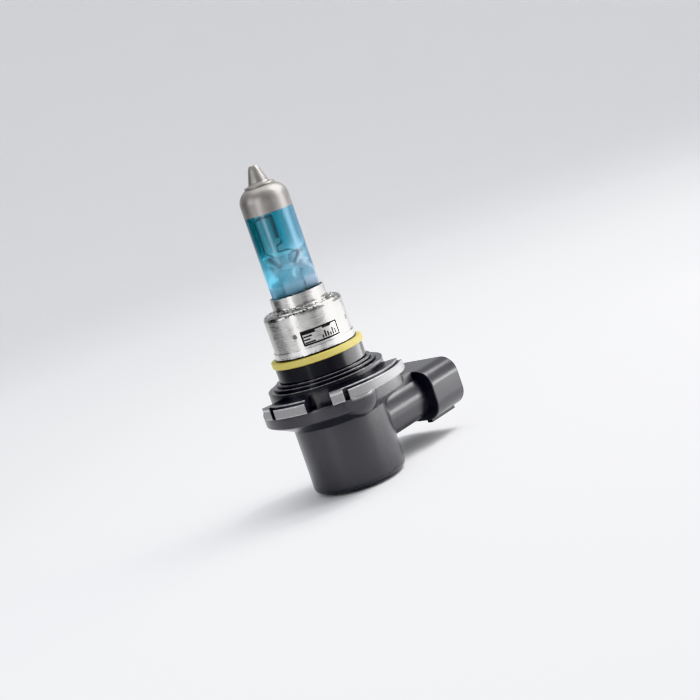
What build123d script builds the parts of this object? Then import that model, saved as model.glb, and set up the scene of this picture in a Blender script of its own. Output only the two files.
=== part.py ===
from build123d import *
import os
from math import cos, pi, radians, sin

# Replaceable halogen headlamp bulb with a right-angle plug socket.
# Millimetres. Z runs along the bulb towards the glass tip and X points out of
# the plug socket. The origin is on the bulb's axis, in the middle of the seal.

# --- Glass capsule ---
TUBE_R = 5.9
TUBE_WALL = 1.1
TIP_Z = 46.3
TIP_R = 0.95
TIP_BASE_R = 2.25
TIP_BASE_Z = 42.6
STEP_R = 3.45
STEP_Z = 41.3
STEP_H = 0.45
DOME_Z = 37.8
CAVITY_TOP_Z = 40.6
CAVITY_BEND_R = 2.2
FUNNEL_TOP_Z = 25.0
FUNNEL_BOTTOM_Z = 21.0
WELL_R = 1.3
WELL_BEND_R = 0.5
WELL_FLOOR_Z = 18.8
ROUND_END_Z = 22.6
PINCH_TOP_Z = 17.4
PINCH_BOTTOM_Z = 4.0
PINCH_WIDTH = 11.8
PINCH_THICK = 3.2
PINCH_CORNER_R = 1.5
PINCH_RIB_WIDTH = 3.2
PINCH_RIB_RISE = 0.55
PINCH_RIB_BOTTOM_Z = 12.5
PINCH_RIB_CORNER_R = 0.4
PINCH_TURN = -45.0

# --- Coats on the glass ---
COAT_THICK = 0.1
COAT_LINE_Z = 35.0
BLUE_BOTTOM_Z = 13.2

# --- Filament, supports, foils and leads ---
FILAMENT_Z = 31.1
COIL_LENGTH = 5.1
COIL_R = 0.52
COIL_WIRE_R = 0.1
COIL_TURNS = 13
COIL_LEG = 0.75
COIL_TOP_LEG = 0.45
COIL_GAP = 0.02
COIL_STEPS = 8
SUPPORT_R = 0.26
SUPPORT_BEND_R = 0.4
SUPPORT_CLEAR_Z = 24.2
LONG_SIDE_R = 4.0
LONG_SPREAD_H = 1.9
ARM_Z = FILAMENT_Z + COIL_LENGTH / 2 + COIL_WIRE_R + COIL_GAP + SUPPORT_R
ARM_DROP = 0.5
ARM_RUN_IN = 0.9
BOW_RISE = 0.9
BOW_NEAR = 1.5
BOW_FAR = -0.9
BOW_TOP_RISE = 2.6
BOW_TOP = -0.7
FOIL_OFFSET = 2.6
FOIL_WIDTH = 1.9
FOIL_THICK = 0.1
FOIL_TOP_Z = 15.5
FOIL_BOTTOM_Z = 8.0
LEAD_R = 0.4
LEAD_BEND_R = 1.6
LEAD_TURN_Z = -9.0
LEAD_LEVEL_Z = -13.5
SLEEVE_R = 0.85
SLEEVE_TOP_Z = 2.2
SLEEVE_BOTTOM_Z = -7.5

# --- Metal can that holds the capsule ---
SHEET = 0.5
COLLAR_R = 9.73
COLLAR_TOP_Z = 11.8
COLLAR_BOTTOM_Z = 2.6
COLLAR_SHOULDER_R = 1.3
NECK_OUTER_R = 6.75
NECK_TOP_Z = 15.1
NECK_ROOT_R = 0.9
WELD_COUNT = 4
WELD_Z = 6.0
WELD_R = 0.7
WELD_DEPTH = 0.2
WELD_FIRST_TURN = 20.0
CRIMP_COUNT = 16
CRIMP_R = 0.75
CRIMP_RING_R = 8.15
CRIMP_DEPTH = 0.3
RING_FLANGE_R = 10.1
RING_FLANGE_BOTTOM_Z = 1.2
RING_WALL_TOP_Z = 7.0
RING_SKIRT_R = 8.75
RING_SKIRT_BOTTOM_Z = -3.4
CUP_TOP_Z = 9.9
CUP_BOTTOM_Z = 7.2
CUP_HOLE_WIDTH = 13.6
CUP_HOLE_DEPTH = 5.2
CLAMP_BOTTOM_Z = 5.4
EAR_LENGTH = 15.6
EAR_DEPTH = 6.4

# --- Seal ---
SEAL_R = 11.4
SEAL_HALF = 0.8
SEAL_SEAT_R = 9.4
SEAL_EDGE_R = 0.3
LIP_R = 10.25

# --- Moulded base: neck, ridges, lugs and flange ---
NECK_R = 10.95
RIDGE_RADII = (11.9, 12.9, 14.4)
RIDGE_TOPS_Z = (-4.4, -5.1, -5.8)
RIDGE_EDGE_R = 0.28
LUG_TOP_Z = -7.4
LUG_STEP_Z = -8.05
LUG_BOTTOM_Z = -10.4
LUG_ROOT_R = 13.4
LUG_EDGE_R = 0.3
LUG_R = 18.8
LUG_INNER_TIER_R = 17.7
RIGHT_LUG_START = 221.0
RIGHT_LUG_END = 303.0
LEFT_LUG_START = 160.0
LEFT_LUG_END = 201.5
BACK_LUG_START = 35.0
BACK_LUG_END = 92.0
STOP_ARC = 9.5
TIER_LAP = 1.0
NOTCH_ARC = 3.8
NOTCH_DEPTH = 2.2
FLANGE_R = 17.4
FLANGE_EDGE_R = 0.4
FLANGE_BOTTOM_Z = -13.4
FLANGE_CONE_Z = -16.4
BORE_R = 7.4

# --- Moulded base: column, boss, elbow and plug shroud ---
COLUMN_R = 11.6
COLUMN_BOTTOM_Z = -33.0
COLUMN_EDGE_R = 1.5
BOSS_R = 5.2
BOSS_RADIUS_OUT = 13.9
BOSS_TURN = 243.5
BOSS_BALL_Z = -10.9
ELBOW_Z = -21.5
ELBOW_WIDTH = 17.0
ELBOW_HEIGHT = 11.4
ELBOW_CORNER_R = 5.2
WEB_WIDTH = 13.2
WEB_END_X = 22.4
WEB_TOP_Z = -13.9
WEB_EDGE_R = 0.6
SHROUD_WIDTH = 22.0
SHROUD_HEIGHT = 13.0
SHROUD_CORNER_R = 4.4
SHROUD_BACK_X = 23.6
SHROUD_MOUTH_X = 35.5
SHROUD_WALL = 1.6
SHROUD_FLOOR_X = 25.4
SHROUD_EDGE = 0.35
KEY_RIB_WIDTH = 1.6
KEY_RIB_HEIGHT = 0.9
KEY_RIB_SPACING = 12.0
KEY_RIB_INSET = 0.8
RAMP_WIDTH = 6.0
RAMP_HEIGHT = 2.2
RAMP_START_X = 27.0
RAMP_PEAK_X = 31.0
RAMP_BACK_X = 31.8

# --- Rear closure and electrical parts ---
COVER_R = 8.8
COVER_THICK = 1.7
PLUG_BOTTOM_Z = -29.0
COVER_DISH_R = 5.6
COVER_DISH_DEPTH = 0.6
COMPOUND_TOP_Z = -17.0
BLADE_PITCH = 8.0
BLADE_WIDTH = 2.8
BLADE_THICK = 0.8
BLADE_TIP_X = 32.6
BLADE_TIP_CHAMFER = 0.27
TAB_X = 2.4
TAB_TOP_Z = -15.2
LEAD_WELD_Z = -20.4

FAR = 60.0
SLIVER = 0.05
JOIN = 0.5


def turned(outline):
    """Solid of revolution about Z from a closed outline given as radius and height."""
    return revolve(Plane.XZ * make_face(outline), Axis.Z)


def ring(outer_r, inner_r, top_z, bottom_z):
    """Plain hollow cylinder between two heights."""
    outline = Polyline(
        (inner_r, bottom_z), (outer_r, bottom_z), (outer_r, top_z), (inner_r, top_z), close=True
    )
    return turned(outline)


def disc(radius, top_z, bottom_z):
    """Plain cylinder between two heights."""
    return Pos(0, 0, bottom_z) * Cylinder(
        radius, top_z - bottom_z, align=(Align.CENTER, Align.CENTER, Align.MIN)
    )


def block(low, high):
    """Box between its lowest and highest corners."""
    size = [b - a for a, b in zip(low, high)]
    return Pos(*low) * Box(*size, align=(Align.MIN, Align.MIN, Align.MIN))


def sector(outer_r, inner_r, top_z, bottom_z, start, end):
    """Part of a ring between two angles about Z."""
    section = Plane.XZ * make_face(
        Polyline(
            (inner_r, bottom_z), (outer_r, bottom_z), (outer_r, top_z), (inner_r, top_z), close=True
        )
    )
    return revolve(Rot(0, 0, start) * section, Axis.Z, end - start)


def slab(width, depth, corner_r, bottom_z, top_z):
    """Upright rounded bar whose width lies along the pinch."""
    section = Pos(0, 0, bottom_z) * Rot(0, 0, PINCH_TURN) * RectangleRounded(width, depth, corner_r)
    return extrude(section, top_z - bottom_z)


def on_pinch(across, z):
    """Point in the plane of the pinch, at a distance across it and a height."""
    return (across * cos(radians(PINCH_TURN)), across * sin(radians(PINCH_TURN)), z)


def wire(points, radius, bend_r):
    """Round wire that follows straight runs joined by tangent arcs."""
    path = FilletPolyline(*points, radius=bend_r)
    return sweep(Plane(origin=path @ 0, z_dir=path % 0) * Circle(radius), path=path)


# --- Capsule ---

def tube_form(grow):
    """Round upper part of the capsule: tube, dome and exhaust tip, pushed out by grow."""
    wall = Line((TUBE_R, ROUND_END_Z), (TUBE_R, DOME_Z))
    dome = TangentArc((TUBE_R, DOME_Z), (STEP_R, STEP_Z), tangent=(0, 1))
    tip = Polyline(
        (STEP_R, STEP_Z),
        (STEP_R, STEP_Z + STEP_H),
        (TIP_BASE_R, TIP_BASE_Z),
        (TIP_R, TIP_Z),
        (0, TIP_Z),
    )
    back = Polyline((0, TIP_Z), (0, ROUND_END_Z), (TUBE_R, ROUND_END_Z))
    face = make_face(wall + dome + tip + back)
    if grow > 0:
        half = Pos(0, ROUND_END_Z) * Rectangle(FAR, FAR, align=(Align.MIN, Align.MIN))
        face = offset(face, grow) & half
    return revolve(Plane.XZ * face, Axis.Z)


def capsule_form(grow):
    """Outer shape of the whole capsule, pushed out by grow."""
    circle = Pos(0, 0, ROUND_END_Z) * Rot(0, 0, PINCH_TURN) * Circle(TUBE_R + grow)
    flat = Pos(0, 0, PINCH_TOP_Z) * Rot(0, 0, PINCH_TURN) * RectangleRounded(
        PINCH_WIDTH + 2 * grow, PINCH_THICK + 2 * grow, PINCH_CORNER_R + grow
    )
    shoulder = loft([flat, circle])
    pinch = slab(
        PINCH_WIDTH + 2 * grow,
        PINCH_THICK + 2 * grow,
        PINCH_CORNER_R + grow,
        PINCH_BOTTOM_Z,
        PINCH_TOP_Z,
    )
    rib = slab(
        PINCH_RIB_WIDTH + 2 * grow,
        PINCH_THICK + 2 * (PINCH_RIB_RISE + grow),
        PINCH_RIB_CORNER_R + grow,
        PINCH_RIB_BOTTOM_Z,
        PINCH_TOP_Z,
    )
    return tube_form(grow) + shoulder + pinch + rib


def cavity():
    """Gas space of the capsule: tube, funnel and the small well between the supports."""
    inner_r = TUBE_R - TUBE_WALL
    outline = Polyline(
        (0, WELL_FLOOR_Z),
        (WELL_R, WELL_FLOOR_Z),
        (WELL_R, FUNNEL_BOTTOM_Z),
        (inner_r, FUNNEL_TOP_Z),
        (inner_r, CAVITY_TOP_Z),
        (0, CAVITY_TOP_Z),
        close=True,
    )
    section = make_face(outline)
    section = fillet(section.vertices().filter_by(lambda v: v.X > inner_r - SLIVER), CAVITY_BEND_R)
    well_mouth = section.vertices().sort_by_distance((WELL_R, FUNNEL_BOTTOM_Z, 0))[0]
    section = fillet(well_mouth, WELL_BEND_R)
    return revolve(Plane.XZ * section, Axis.Z)


def foil(side):
    """Molybdenum foil in the pinch, on the side of the long (-1) or the short (+1) support."""
    strip = Pos(side * FOIL_OFFSET, 0, FOIL_BOTTOM_Z) * Box(
        FOIL_WIDTH,
        FOIL_THICK,
        FOIL_TOP_Z - FOIL_BOTTOM_Z,
        align=(Align.CENTER, Align.CENTER, Align.MIN),
    )
    return Rot(0, 0, PINCH_TURN) * strip


def long_support():
    """Support that rises beside the filament and folds over to its upper leg."""
    points = [
        on_pinch(-FOIL_OFFSET, FOIL_TOP_Z),
        on_pinch(-FOIL_OFFSET, SUPPORT_CLEAR_Z),
        on_pinch(-LONG_SIDE_R, SUPPORT_CLEAR_Z + LONG_SPREAD_H),
        on_pinch(-LONG_SIDE_R, ARM_Z - ARM_DROP),
        on_pinch(-LONG_SIDE_R + ARM_RUN_IN, ARM_Z),
        on_pinch(COIL_R - COIL_WIRE_R, ARM_Z),
    ]
    return wire(points, SUPPORT_R, SUPPORT_BEND_R)


def short_support():
    """Support that leaves the pinch low down, crosses the axis and meets the lower leg."""
    leg_foot_z = FILAMENT_Z - COIL_LENGTH / 2 - COIL_LEG
    points = [
        on_pinch(FOIL_OFFSET, FOIL_TOP_Z),
        on_pinch(FOIL_OFFSET, SUPPORT_CLEAR_Z),
        on_pinch(BOW_NEAR, SUPPORT_CLEAR_Z + BOW_RISE),
        on_pinch(BOW_FAR, SUPPORT_CLEAR_Z + BOW_RISE),
        on_pinch(BOW_TOP, SUPPORT_CLEAR_Z + BOW_TOP_RISE),
        on_pinch(COIL_R, leg_foot_z - COIL_LEG),
        on_pinch(COIL_R, leg_foot_z),
    ]
    return wire(points, SUPPORT_R, SUPPORT_BEND_R)


def filament_coil():
    """One tungsten wire: a leg, the turns of the coil about the axis, and a second leg."""
    steps = COIL_TURNS * COIL_STEPS
    start_z = FILAMENT_Z - COIL_LENGTH / 2
    end_z = FILAMENT_Z + COIL_LENGTH / 2
    points = [(COIL_R, 0, start_z - COIL_LEG), (COIL_R, 0, start_z - COIL_LEG / 2)]
    for i in range(steps + 1):
        turn = 2 * pi * i / COIL_STEPS
        points.append((COIL_R * cos(turn), COIL_R * sin(turn), start_z + COIL_LENGTH * i / steps))
    points += [(COIL_R, 0, end_z + COIL_TOP_LEG)]
    path = Spline(*points, tangents=[(0, 0, 1), (0, 0, 1)])
    body = sweep(Plane(origin=path @ 0, z_dir=path % 0) * Circle(COIL_WIRE_R), path=path)
    return Rot(0, 0, PINCH_TURN) * body


def lead_path(side):
    """Route of an outer lead, from its foil down the bore to the weld on its blade."""
    weld_x = TAB_X - LEAD_R
    weld_y = -side * BLADE_PITCH / 2
    return [
        on_pinch(side * FOIL_OFFSET, FOIL_BOTTOM_Z),
        on_pinch(side * FOIL_OFFSET, LEAD_TURN_Z),
        (weld_x, weld_y, LEAD_LEVEL_Z),
        (weld_x, weld_y, LEAD_WELD_Z),
    ]


def lead(side):
    """Outer current lead on the side of the long (-1) or the short (+1) support."""
    return wire(lead_path(side), LEAD_R, LEAD_BEND_R)


def lead_sleeve(side):
    """Insulating tube on the straight upper run of a lead."""
    x, y, _ = on_pinch(side * FOIL_OFFSET, 0)
    return Pos(x, y, 0) * ring(SLEEVE_R, LEAD_R, SLEEVE_TOP_Z, SLEEVE_BOTTOM_Z)


def glass_capsule(embedded):
    """Quartz body with its gas space and exact seats for the metal sealed into it."""
    body = capsule_form(0) - cavity()
    for piece in embedded:
        body -= piece
    return body


def coat(bottom_z, top_z):
    """Coat on the outside of the glass between two heights."""
    shell = capsule_form(COAT_THICK) - capsule_form(0)
    return shell & disc(FAR / 2, top_z, bottom_z)


# --- Metal can ---

def capsule_collar():
    """Stamped can with a neck round the glass, crimp dents and weld dents."""
    outline = Polyline(
        (COLLAR_R, COLLAR_BOTTOM_Z),
        (COLLAR_R, COLLAR_TOP_Z),
        (NECK_OUTER_R, COLLAR_TOP_Z),
        (NECK_OUTER_R, NECK_TOP_Z),
        (NECK_OUTER_R - SHEET, NECK_TOP_Z),
        (NECK_OUTER_R - SHEET, COLLAR_TOP_Z - SHEET),
        (COLLAR_R - SHEET, COLLAR_TOP_Z - SHEET),
        (COLLAR_R - SHEET, COLLAR_BOTTOM_Z),
        close=True,
    )
    section = make_face(outline)

    def corners(radius, z):
        return section.vertices().filter_by(
            lambda v: abs(v.X - radius) < SLIVER and abs(v.Y - z) < SLIVER
        )

    section = fillet(corners(COLLAR_R, COLLAR_TOP_Z), COLLAR_SHOULDER_R)
    section = fillet(corners(COLLAR_R - SHEET, COLLAR_TOP_Z - SHEET), COLLAR_SHOULDER_R - SHEET)
    section = fillet(corners(NECK_OUTER_R, COLLAR_TOP_Z), NECK_ROOT_R)
    section = fillet(corners(NECK_OUTER_R - SHEET, COLLAR_TOP_Z - SHEET), NECK_ROOT_R + SHEET)
    body = revolve(Plane.XZ * section, Axis.Z)
    for i in range(WELD_COUNT):
        turn = WELD_FIRST_TURN + i * 360 / WELD_COUNT
        body -= Rot(0, 0, turn) * Pos(COLLAR_R + WELD_R - WELD_DEPTH, 0, WELD_Z) * Sphere(WELD_R)
    for i in range(CRIMP_COUNT):
        turn = i * 360 / CRIMP_COUNT
        dent = Pos(CRIMP_RING_R, 0, COLLAR_TOP_Z + CRIMP_R - CRIMP_DEPTH) * Sphere(CRIMP_R)
        body -= Rot(0, 0, turn) * dent
    return body


def base_ring():
    """Ring with a flange, an upright wall inside the collar and a skirt in the plastic."""
    wall_r = COLLAR_R - SHEET
    outline = Polyline(
        (RING_SKIRT_R - SHEET, RING_SKIRT_BOTTOM_Z),
        (RING_SKIRT_R, RING_SKIRT_BOTTOM_Z),
        (RING_SKIRT_R, RING_FLANGE_BOTTOM_Z),
        (RING_FLANGE_R, RING_FLANGE_BOTTOM_Z),
        (RING_FLANGE_R, COLLAR_BOTTOM_Z),
        (wall_r, COLLAR_BOTTOM_Z),
        (wall_r, RING_WALL_TOP_Z),
        (wall_r - SHEET, RING_WALL_TOP_Z),
        (wall_r - SHEET, COLLAR_BOTTOM_Z - SHEET),
        (RING_SKIRT_R - SHEET, COLLAR_BOTTOM_Z - SHEET),
        close=True,
    )
    return turned(outline)


def holder_cup():
    """Cup inside the collar, with a slot that the clamp and the pinch pass through."""
    rim_r = COLLAR_R - SHEET
    cup = disc(rim_r, CUP_TOP_Z, CUP_BOTTOM_Z) - disc(rim_r - SHEET, CUP_TOP_Z - SHEET, CUP_BOTTOM_Z)
    return cup - slab(CUP_HOLE_WIDTH, CUP_HOLE_DEPTH, PINCH_CORNER_R, CUP_BOTTOM_Z, CUP_TOP_Z)


def pinch_clamp():
    """Spring band round the pinch with a wide flange of ears that lies on the cup."""
    top_z = CUP_TOP_Z + SHEET
    band = slab(
        PINCH_WIDTH + 2 * SHEET,
        PINCH_THICK + 2 * SHEET,
        PINCH_CORNER_R + SHEET,
        CLAMP_BOTTOM_Z,
        top_z,
    )
    ears = slab(EAR_LENGTH, EAR_DEPTH, PINCH_CORNER_R, CUP_TOP_Z, top_z)
    pinch = slab(PINCH_WIDTH, PINCH_THICK, PINCH_CORNER_R, CLAMP_BOTTOM_Z, top_z)
    return band + ears - pinch


def seal_ring():
    """Silicone ring with a flat outer band and rounded edges."""
    outline = Polyline(
        (SEAL_SEAT_R, -SEAL_HALF),
        (SEAL_R, -SEAL_HALF),
        (SEAL_R, SEAL_HALF),
        (SEAL_SEAT_R, SEAL_HALF),
        close=True,
    )
    section = make_face(outline)
    rim = section.vertices().filter_by(lambda v: v.X > SEAL_R - SEAL_EDGE_R)
    return revolve(Plane.XZ * fillet(rim, SEAL_EDGE_R), Axis.Z)


# --- Moulded base ---

def stepped_neck():
    """Seal seat, neck, the ridges that step outwards, and the flange with its cone."""
    points = [
        (0, RING_FLANGE_BOTTOM_Z),
        (LIP_R, RING_FLANGE_BOTTOM_Z),
        (LIP_R, SEAL_HALF),
        (SEAL_SEAT_R, SEAL_HALF),
        (SEAL_SEAT_R, -SEAL_HALF),
        (NECK_R, -SEAL_HALF),
    ]
    inner_r = NECK_R
    for radius, z in zip(RIDGE_RADII, RIDGE_TOPS_Z):
        points += [(inner_r, z), (radius, z)]
        inner_r = radius
    points += [
        (inner_r, LUG_BOTTOM_Z),
        (FLANGE_R, LUG_BOTTOM_Z),
        (FLANGE_R, FLANGE_BOTTOM_Z),
        (COLUMN_R, FLANGE_CONE_Z),
        (0, FLANGE_CONE_Z),
    ]
    section = make_face(Polyline(*points, close=True))
    ridge_corners = section.vertices().filter_by(
        lambda v: any(abs(v.X - r) < SLIVER and abs(v.Y - z) < SLIVER for r, z in zip(RIDGE_RADII, RIDGE_TOPS_Z))
    )
    section = fillet(ridge_corners, RIDGE_EDGE_R)
    flange_corners = section.vertices().filter_by(lambda v: abs(v.X - FLANGE_R) < SLIVER)
    section = fillet(flange_corners, FLANGE_EDGE_R)
    return revolve(Plane.XZ * section, Axis.Z)


def soft_sector(outer_r, top_z, bottom_z, start, end):
    """Part of a ring from the lugs' root outwards, with its outer edges rounded."""
    body = sector(outer_r, LUG_ROOT_R, top_z, bottom_z, start, end)
    outside = body.edges().filter_by(
        lambda e: (e @ 0.5).X ** 2 + (e @ 0.5).Y ** 2 > (outer_r - LUG_EDGE_R) ** 2
    )
    return fillet(outside, LUG_EDGE_R)


def lug(start, end):
    """Bayonet lug: a stop block, a notch, and a long part with a raised inner tier."""
    block_end = start + STOP_ARC
    core = sector(LUG_R - NOTCH_DEPTH, LUG_ROOT_R, LUG_STEP_Z, LUG_BOTTOM_Z, start, end)
    stop_block = soft_sector(LUG_R, LUG_TOP_Z, LUG_BOTTOM_Z, start, block_end)
    long_part = soft_sector(LUG_R, LUG_STEP_Z, LUG_BOTTOM_Z, block_end + NOTCH_ARC, end)
    tier = soft_sector(LUG_INNER_TIER_R, LUG_TOP_Z, LUG_STEP_Z - JOIN, block_end - TIER_LAP, end)
    return core + stop_block + long_part + tier


def side_boss():
    """Round-ended boss on the side of the flange, under the right lug."""
    place = Rot(0, 0, BOSS_TURN) * Pos(BOSS_RADIUS_OUT, 0, BOSS_BALL_Z)
    ball = Sphere(BOSS_R)
    stem = Cylinder(BOSS_R, LUG_BOTTOM_Z - BOSS_BALL_Z, align=(Align.CENTER, Align.CENTER, Align.MIN))
    whole = place * (ball + stem)
    return whole - block((-FAR, -FAR, LUG_BOTTOM_Z), (FAR, FAR, FAR))


def along_x(width, height, corner_r, start_x, end_x):
    """Rounded bar along X, centred on the plug's height."""
    section = Plane(origin=(start_x, 0, ELBOW_Z), x_dir=(0, 1, 0), z_dir=(1, 0, 0))
    return extrude(section * RectangleRounded(width, height, corner_r), end_x - start_x)


def plug_shroud():
    """Wide outer shroud of the plug socket, with its lock ramp and key ribs."""
    outer = along_x(SHROUD_WIDTH, SHROUD_HEIGHT, SHROUD_CORNER_R, SHROUD_BACK_X, SHROUD_MOUTH_X)
    mouth_edges = outer.edges().filter_by(
        lambda e: e.center().X > SHROUD_MOUTH_X - SHROUD_EDGE or e.center().X < SHROUD_BACK_X + SHROUD_EDGE
    )
    outer = fillet(mouth_edges, SHROUD_EDGE)
    under_z = ELBOW_Z - SHROUD_HEIGHT / 2
    ramp = extrude(
        Plane.XZ
        * make_face(
            Polyline(
                (RAMP_START_X, under_z + JOIN),
                (RAMP_START_X, under_z),
                (RAMP_PEAK_X, under_z - RAMP_HEIGHT),
                (RAMP_BACK_X, under_z - RAMP_HEIGHT),
                (RAMP_BACK_X, under_z + JOIN),
                close=True,
            )
        ),
        RAMP_WIDTH / 2,
        both=True,
    )
    outer += ramp
    for side in (-1, 1):
        y = side * KEY_RIB_SPACING / 2
        outer += block(
            (SHROUD_BACK_X + KEY_RIB_INSET, y - KEY_RIB_WIDTH / 2, under_z - KEY_RIB_HEIGHT),
            (SHROUD_MOUTH_X - KEY_RIB_INSET, y + KEY_RIB_WIDTH / 2, under_z + JOIN),
        )
    return outer


def shroud_cavity():
    """Space inside the shroud that the mating plug fills."""
    return along_x(
        SHROUD_WIDTH - 2 * SHROUD_WALL,
        SHROUD_HEIGHT - 2 * SHROUD_WALL,
        SHROUD_CORNER_R - SHROUD_WALL,
        SHROUD_FLOOR_X,
        SHROUD_MOUTH_X + JOIN,
    )


def blade(side):
    """Terminal blade with an upright weld tab in the bore and a tapered tip."""
    y = side * BLADE_PITCH / 2
    low_z = ELBOW_Z - BLADE_THICK / 2
    high_z = ELBOW_Z + BLADE_THICK / 2
    bar = block((TAB_X, y - BLADE_WIDTH / 2, low_z), (BLADE_TIP_X, y + BLADE_WIDTH / 2, high_z))
    tip_edges = bar.edges().filter_by(Axis.Y).group_by(Axis.X)[-1]
    bar = chamfer(tip_edges, BLADE_TIP_CHAMFER)
    tab = block(
        (TAB_X, y - BLADE_WIDTH / 2, low_z), (TAB_X + BLADE_THICK, y + BLADE_WIDTH / 2, TAB_TOP_Z)
    )
    return bar + tab


def base_housing(blades, skirt):
    """Whole moulding, with the bore, the plug socket and the seats of the moulded-in metal."""
    body = stepped_neck()
    body += lug(RIGHT_LUG_START, RIGHT_LUG_END)
    body += lug(LEFT_LUG_START, LEFT_LUG_END)
    body += lug(BACK_LUG_START, BACK_LUG_END)
    column = disc(COLUMN_R, FLANGE_CONE_Z, COLUMN_BOTTOM_Z)
    column = fillet(column.edges().group_by(Axis.Z)[0], COLUMN_EDGE_R)
    body += column
    body += side_boss()
    body += along_x(ELBOW_WIDTH, ELBOW_HEIGHT, ELBOW_CORNER_R, 0, SHROUD_BACK_X + JOIN)
    web = block((0, -WEB_WIDTH / 2, ELBOW_Z), (WEB_END_X, WEB_WIDTH / 2, WEB_TOP_Z))
    body += fillet(web.edges().filter_by(Axis.X).group_by(Axis.Z)[-1], WEB_EDGE_R)
    body += plug_shroud()
    body -= shroud_cavity()
    body -= disc(BORE_R, RING_FLANGE_BOTTOM_Z + JOIN, COLUMN_BOTTOM_Z - JOIN)
    body -= disc(COVER_R, COLUMN_BOTTOM_Z + COVER_THICK, COLUMN_BOTTOM_Z - JOIN)
    body -= skirt
    for piece in blades:
        body -= piece
    return body


def sealing_compound(embedded):
    """Resin that fills the rear of the bore round the welds."""
    fill = disc(BORE_R, COMPOUND_TOP_Z, PLUG_BOTTOM_Z)
    for piece in embedded:
        fill -= piece
    return fill


def rear_cover():
    """Disc with a shallow dish and a plug that reaches the resin."""
    lid = disc(COVER_R, COLUMN_BOTTOM_Z + COVER_THICK, COLUMN_BOTTOM_Z)
    lid -= disc(COVER_DISH_R, COLUMN_BOTTOM_Z + COVER_DISH_DEPTH, COLUMN_BOTTOM_Z)
    return lid + disc(BORE_R, PLUG_BOTTOM_Z, COLUMN_BOTTOM_Z + COVER_THICK)


def build_parts():
    """All pieces by node name, in the order that the bulb is put together."""
    parts = {}
    parts["filament_coil"] = filament_coil()
    parts["long_support_wire"] = long_support()
    parts["short_support_wire"] = short_support()
    parts["foil_long_side"] = foil(-1)
    parts["foil_short_side"] = foil(1)
    parts["lead_long_side"] = lead(-1)
    parts["lead_short_side"] = lead(1)
    sealed = [name for name in parts if name != "filament_coil"]
    parts["glass_capsule"] = glass_capsule([parts[name] for name in sealed])
    parts["cap_coating"] = coat(COAT_LINE_Z, FAR)
    parts["blue_coating"] = coat(BLUE_BOTTOM_Z, COAT_LINE_Z)
    parts["pinch_clamp"] = pinch_clamp()
    parts["holder_cup"] = holder_cup()
    parts["capsule_collar"] = capsule_collar()
    parts["base_ring"] = base_ring()
    parts["sleeve_long_side"] = lead_sleeve(-1)
    parts["sleeve_short_side"] = lead_sleeve(1)
    parts["blade_left"] = blade(1)
    parts["blade_right"] = blade(-1)
    blades = [parts["blade_left"], parts["blade_right"]]
    leads = [parts["lead_long_side"], parts["lead_short_side"]]
    parts["base_housing"] = base_housing(blades, parts["base_ring"])
    parts["sealing_compound"] = sealing_compound(blades + leads)
    parts["rear_cover"] = rear_cover()
    parts["seal_ring"] = seal_ring()
    return parts


os.makedirs("parts", exist_ok=True)
for node, shape in build_parts().items():
    export_step(shape, "parts/" + node + ".step")
    print(node, len(shape.solids()), round(shape.volume, 2))
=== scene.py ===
from math import atan2, ceil, cos, pi, radians, sin, sqrt

import bmesh
import bpy
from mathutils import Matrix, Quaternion, Vector


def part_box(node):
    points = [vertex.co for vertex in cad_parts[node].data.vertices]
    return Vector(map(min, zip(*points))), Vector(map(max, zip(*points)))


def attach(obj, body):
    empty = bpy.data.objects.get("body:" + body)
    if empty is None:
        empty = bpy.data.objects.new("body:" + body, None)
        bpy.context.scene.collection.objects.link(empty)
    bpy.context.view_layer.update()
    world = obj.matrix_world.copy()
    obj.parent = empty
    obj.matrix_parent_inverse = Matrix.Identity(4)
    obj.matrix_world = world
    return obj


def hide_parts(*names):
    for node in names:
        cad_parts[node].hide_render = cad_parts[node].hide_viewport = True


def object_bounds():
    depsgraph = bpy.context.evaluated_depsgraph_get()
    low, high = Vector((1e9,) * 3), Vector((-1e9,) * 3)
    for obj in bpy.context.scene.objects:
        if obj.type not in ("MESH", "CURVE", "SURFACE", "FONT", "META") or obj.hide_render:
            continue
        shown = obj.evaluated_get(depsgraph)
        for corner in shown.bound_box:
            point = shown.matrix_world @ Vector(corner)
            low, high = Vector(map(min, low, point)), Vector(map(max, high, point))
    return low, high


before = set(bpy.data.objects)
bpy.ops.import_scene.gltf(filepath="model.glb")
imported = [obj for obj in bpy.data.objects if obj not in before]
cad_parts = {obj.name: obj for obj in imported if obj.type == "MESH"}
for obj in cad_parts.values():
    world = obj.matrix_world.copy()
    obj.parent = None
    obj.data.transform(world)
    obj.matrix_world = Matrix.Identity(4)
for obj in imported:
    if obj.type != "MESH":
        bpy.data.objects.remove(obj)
cad_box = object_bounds()

# --- Filament -------------------------------------------------------------
# One drawn tungsten wire: a leg, a close coil round the bulb's axis, a leg.
# It is wound on a mandrel, baked dark, and hangs between the two supports.

mm = 0.001
pinch_turn = radians(-45)
coil_low, coil_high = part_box("filament_coil")
coil_wire_r = 0.085 * mm
designed_wire_r = 0.1 * mm
coil_r = coil_high.x - designed_wire_r
foot_leg = 0.75 * mm
top_leg = 0.45 * mm
leg_turn_in = 0.4
coil_turns = 19
steps_per_turn = 20


def finish_piece(obj, sharp_deg, slot, *nodes):
    """Smooths a piece, fixes it to the bulb, and hides the designed parts it stands in for."""
    obj.data.set_sharp_from_angle(angle=radians(sharp_deg))
    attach(obj, "root")
    if nodes:
        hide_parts(*nodes)
    return obj


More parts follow.
